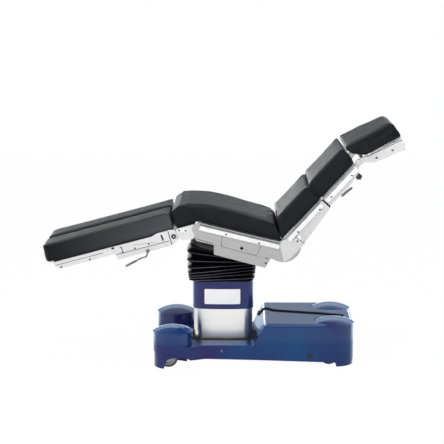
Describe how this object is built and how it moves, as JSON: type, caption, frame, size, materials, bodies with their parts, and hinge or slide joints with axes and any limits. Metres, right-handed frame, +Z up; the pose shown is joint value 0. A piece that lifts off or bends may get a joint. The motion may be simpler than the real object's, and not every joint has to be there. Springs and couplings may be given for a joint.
{
  "type": "operating table",
  "caption": "Column operating table with padded leg, seat, back and head sections on motor and hand joints, lifting and tilting over a wheeled base.",
  "frame": {"origin": "on the floor, at the centre of the whole table's box in plan, which is under the column", "axes": "+X along the table to the head end, +Y to the patient's right side, +Z up"},
  "size_m": [1.9094, 0.715, 1.2983],
  "materials": {
    "pad": "satin black polyurethane cover",
    "steel": "satin stainless steel",
    "rail": "polished stainless steel",
    "blue": "gloss dark blue",
    "black": "matte black",
    "bellows": "matte black rubber",
    "tyre": "grey-black tread",
    "casting": "painted dark grey",
    "machined": "machined"
  },
  "bodies": {
    "base": {"base_frame": "casting", "base_cover": "blue", "column_shell_lower": "steel", "lift_barrel": "machined", "power_pack": "black", "pump_unit": "casting", "power_socket": "black", "pod_cap_foot_left": "blue", "pod_cap_foot_right": "blue", "pod_cap_head_left": "blue", "pod_cap_head_right": "blue"},
    "floor_lock": {"floor_lock_feet": "tyre"},
    "swivel_foot_left": {"caster_fork_foot_left": "machined"},
    "wheel_foot_left": {"caster_hub_foot_left": "machined", "caster_tyre_foot_left": "tyre"},
    "swivel_foot_right": {"caster_fork_foot_right": "machined"},
    "wheel_foot_right": {"caster_hub_foot_right": "machined", "caster_tyre_foot_right": "tyre"},
    "swivel_head_left": {"caster_fork_head_left": "machined"},
    "wheel_head_left": {"caster_hub_head_left": "machined", "caster_tyre_head_left": "tyre"},
    "swivel_head_right": {"caster_fork_head_right": "machined"},
    "wheel_head_right": {"caster_hub_head_right": "machined", "caster_tyre_head_right": "tyre"},
    "column_middle": {"column_shell_middle": "steel", "lift_sleeve": "machined"},
    "column_top": {"column_shell_top": "blue", "column_head": "casting", "lift_rod": "rail"},
    "tilt_block": {"cardan_block": "casting", "bellows_lower": "bellows", "bellows_upper": "bellows"},
    "seat": {"seat_side_plates": "steel", "seat_rails": "rail", "seat_frame": "machined", "seat_lower_cover": "steel", "seat_board": "black", "seat_pad": "pad", "drive_motors": "black", "bellows_collar": "black"},
    "leg_bracket": {"leg_bracket": "steel", "seat_pad_front": "pad"},
    "leg_left": {"leg_frame_left": "steel", "leg_pad_left": "pad"},
    "leg_right": {"leg_frame_right": "steel", "leg_pad_right": "pad"},
    "leg_lever_left": {"leg_lever_left": "rail"},
    "leg_lever_right": {"leg_lever_right": "rail"},
    "back": {"back_frame_lower": "steel", "back_pad_lower": "pad", "back_frame_upper": "steel", "back_pad_upper": "pad", "back_rails": "rail"},
    "back_lever": {"back_lock_lever": "black"},
    "knob_left": {"neck_knob_left": "black"},
    "knob_right": {"neck_knob_right": "black"},
    "neck": {"neck_link": "steel"},
    "head": {"head_frame": "steel", "head_pad": "pad"},
    "head_bail": {"head_bail": "rail"}
  },
  "joints": [
    {"name": "lift", "type": "slide", "parent": "base", "child": "column_top", "axis": [0, 0, 1], "range_m": [-0.08, 0.2]},
    {"name": "lift_middle", "type": "slide", "parent": "base", "child": "column_middle", "axis": [0, 0, 1], "range_m": [-0.04, 0.1]},
    {"name": "floor_lock", "type": "slide", "parent": "base", "child": "floor_lock", "axis": [0, 0, -1], "range_m": [0, 0.01], "stiffness_N_per_m": 20000},
    {"name": "tilt", "type": "hinge", "parent": "column_top", "child": "tilt_block", "pos_m": [0, 0, 0.51], "axis": [0, 1, 0], "range_deg": [-28, 8], "deforming": ["bellows_lower"]},
    {"name": "roll", "type": "hinge", "parent": "tilt_block", "child": "seat", "pos_m": [0, 0, 0.55627], "axis": [0.9724, 0, -0.2334], "range_deg": [-20, 20], "deforming": ["bellows_upper"]},
    {"name": "leg_joint", "type": "hinge", "parent": "seat", "child": "leg_bracket", "pos_m": [-0.12173, 0, 0.76444], "axis": [0, -1, 0], "range_deg": [-28, 30]},
    {"name": "leg_pivot_left", "type": "hinge", "parent": "leg_bracket", "child": "leg_left", "pos_m": [-0.25666, 0, 0.70999], "axis": [0, 1, 0], "range_deg": [-45, 0]},
    {"name": "leg_pivot_right", "type": "hinge", "parent": "leg_bracket", "child": "leg_right", "pos_m": [-0.25666, 0, 0.70999], "axis": [0, 1, 0], "range_deg": [-45, 0]},
    {"name": "leg_lever_left", "type": "hinge", "parent": "leg_left", "child": "leg_lever_left", "pos_m": [-0.39275, 0, 0.63032], "axis": [0, 1, 0], "range_deg": [0, 18], "stiffness_Nm_per_rad": 2, "springref_deg": -5.73},
    {"name": "leg_lever_right", "type": "hinge", "parent": "leg_right", "child": "leg_lever_right", "pos_m": [-0.39275, 0, 0.63032], "axis": [0, 1, 0], "range_deg": [0, 18], "stiffness_Nm_per_rad": 2, "springref_deg": -5.73},
    {"name": "back_joint", "type": "hinge", "parent": "seat", "child": "back", "pos_m": [0.31837, 0, 0.66824], "axis": [0, 1, 0], "range_deg": [-5, 70]},
    {"name": "back_lever", "type": "hinge", "parent": "back", "child": "back_lever", "pos_m": [0.62559, 0, 0.92655], "axis": [0, 1, 0], "range_deg": [0, 35]},
    {"name": "neck_knob_left", "type": "hinge", "parent": "back", "child": "knob_left", "pos_m": [0.71133, 0, 1.0216], "axis": [0, 1, 0], "continuous": true},
    {"name": "neck_knob_right", "type": "hinge", "parent": "back", "child": "knob_right", "pos_m": [0.71133, 0, 1.0216], "axis": [0, 1, 0], "continuous": true},
    {"name": "neck_joint", "type": "hinge", "parent": "back", "child": "neck", "pos_m": [0.71033, 0, 1.09304], "axis": [0, -1, 0], "range_deg": [-45, 0]},
    {"name": "head_joint", "type": "hinge", "parent": "neck", "child": "head", "pos_m": [0.75999, 0, 1.11739], "axis": [0, -1, 0], "range_deg": [-30, 0]},
    {"name": "head_bail", "type": "hinge", "parent": "head", "child": "head_bail", "pos_m": [0.85135, 0, 1.1308], "axis": [0, -1, 0], "range_deg": [0, 7], "stiffness_Nm_per_rad": 12, "springref_deg": -5.73},
    {"name": "swivel_foot_left", "type": "hinge", "parent": "base", "child": "swivel_foot_left", "pos_m": [-0.264, -0.25, 0.113], "axis": [0, 0, 1], "continuous": true},
    {"name": "wheel_foot_left", "type": "hinge", "parent": "swivel_foot_left", "child": "wheel_foot_left", "pos_m": [-0.289, -0.25, 0.05], "axis": [0, 1, 0], "continuous": true},
    {"name": "swivel_foot_right", "type": "hinge", "parent": "base", "child": "swivel_foot_right", "pos_m": [-0.264, 0.25, 0.113], "axis": [0, 0, 1], "continuous": true},
    {"name": "wheel_foot_right", "type": "hinge", "parent": "swivel_foot_right", "child": "wheel_foot_right", "pos_m": [-0.289, 0.25, 0.05], "axis": [0, 1, 0], "continuous": true},
    {"name": "swivel_head_left", "type": "hinge", "parent": "base", "child": "swivel_head_left", "pos_m": [0.593, -0.18, 0.113], "axis": [0, 0, 1], "continuous": true},
    {"name": "wheel_head_left", "type": "hinge", "parent": "swivel_head_left", "child": "wheel_head_left", "pos_m": [0.568, -0.18, 0.05], "axis": [0, 1, 0], "continuous": true},
    {"name": "swivel_head_right", "type": "hinge", "parent": "base", "child": "swivel_head_right", "pos_m": [0.593, 0.18, 0.113], "axis": [0, 0, 1], "continuous": true},
    {"name": "wheel_head_right", "type": "hinge", "parent": "swivel_head_right", "child": "wheel_head_right", "pos_m": [0.568, 0.18, 0.05], "axis": [0, 1, 0], "continuous": true}
  ],
  "couplings": [
    {"joint": "lift_middle", "follows": "lift", "ratio": 0.5}
  ]
}
